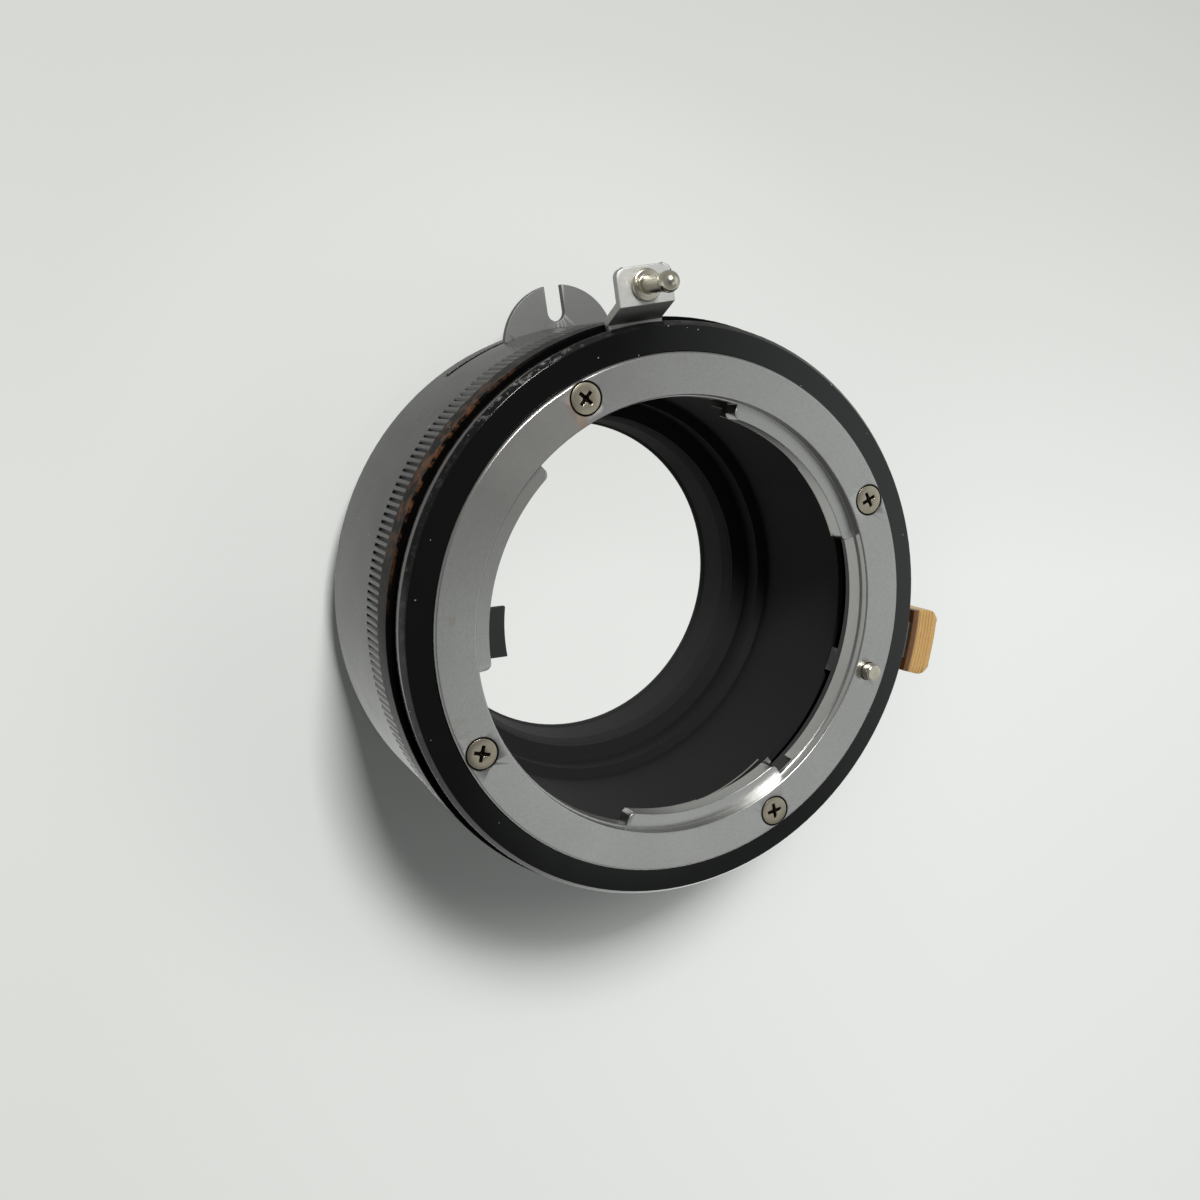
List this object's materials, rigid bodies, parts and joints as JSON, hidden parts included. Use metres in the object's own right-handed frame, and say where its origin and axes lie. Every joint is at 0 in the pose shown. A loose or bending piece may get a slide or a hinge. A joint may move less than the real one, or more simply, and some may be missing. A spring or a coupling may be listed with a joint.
{
  "type": "automatic extension ring",
  "caption": "Ring that spaces a bayonet lens from a camera for close-ups, with a lens lock, a turning meter coupling and a stop-down tab.",
  "frame": {"origin": "centre of the flange face that meets the camera, on the optical axis", "axes": "+Z along the optical axis toward the lens, +X toward the release cap side, +Y toward the follower pin side, as seen from the lens side"},
  "size_m": [0.0677, 0.0682, 0.038],
  "materials": {
    "satin_chrome": "satin chrome plate over brass, turned, lightly worn",
    "nickel": "nickel plate, slightly yellowed",
    "spring_steel": "plain steel",
    "black_anodised": "satin black anodised",
    "bare_aluminium": "satin aluminium, lightly scratched",
    "black_steel": "black painted sheet",
    "matte_black": "matte black paint against reflections",
    "aged_ivory_plastic": "aged amber-ivory plastic"
  },
  "bodies": {
    "housing": {"lens_flange": "satin_chrome", "flange_screws": "nickel", "bayonet_spring_right": "spring_steel", "bayonet_spring_left": "spring_steel", "bayonet_spring_lower": "spring_steel", "spring_rivets": "spring_steel", "front_ring": "black_anodised", "lock_pin_spring": "spring_steel", "thrust_spacer": "spring_steel", "main_tube": "black_anodised", "rear_barrel": "black_anodised", "stopdown_spring": "spring_steel", "spring_post": "spring_steel", "inner_sleeve": "matte_black", "snap_ring": "spring_steel", "rear_baffle": "matte_black", "camera_bayonet": "satin_chrome", "bayonet_screws": "nickel"},
    "coupling": {"coupling_ring": "black_anodised", "follower_plate": "bare_aluminium", "follower_rivets": "spring_steel", "follower_pin": "nickel", "meter_prong": "bare_aluminium", "prong_rivets": "spring_steel"},
    "lock": {"lock_pin": "nickel", "release_lever": "spring_steel", "release_cap": "aged_ivory_plastic"},
    "stopdown": {"stopdown_ring": "black_anodised", "stopdown_tab": "black_steel", "stopdown_arm": "spring_steel", "stopdown_rivets": "spring_steel", "ring_post": "spring_steel"}
  },
  "joints": [
    {"name": "coupling_turn", "type": "hinge", "parent": "housing", "child": "coupling", "pos_m": [0, 0, 0.0195], "axis": [0, 0, 1], "range_deg": [-45, 13]},
    {"name": "lock_press", "type": "slide", "parent": "housing", "child": "lock", "axis": [0, 0, -1], "range_m": [0, 0.00125], "stiffness_N_per_m": 400, "springref_m": -0.004, "deforming": ["lock_pin_spring"]},
    {"name": "stopdown_turn", "type": "hinge", "parent": "housing", "child": "stopdown", "pos_m": [0, 0, 0.0179], "axis": [0, 0, 1], "range_deg": [0, 18], "stiffness_Nm_per_rad": 0.01, "springref_deg": -17.19}
  ]
}
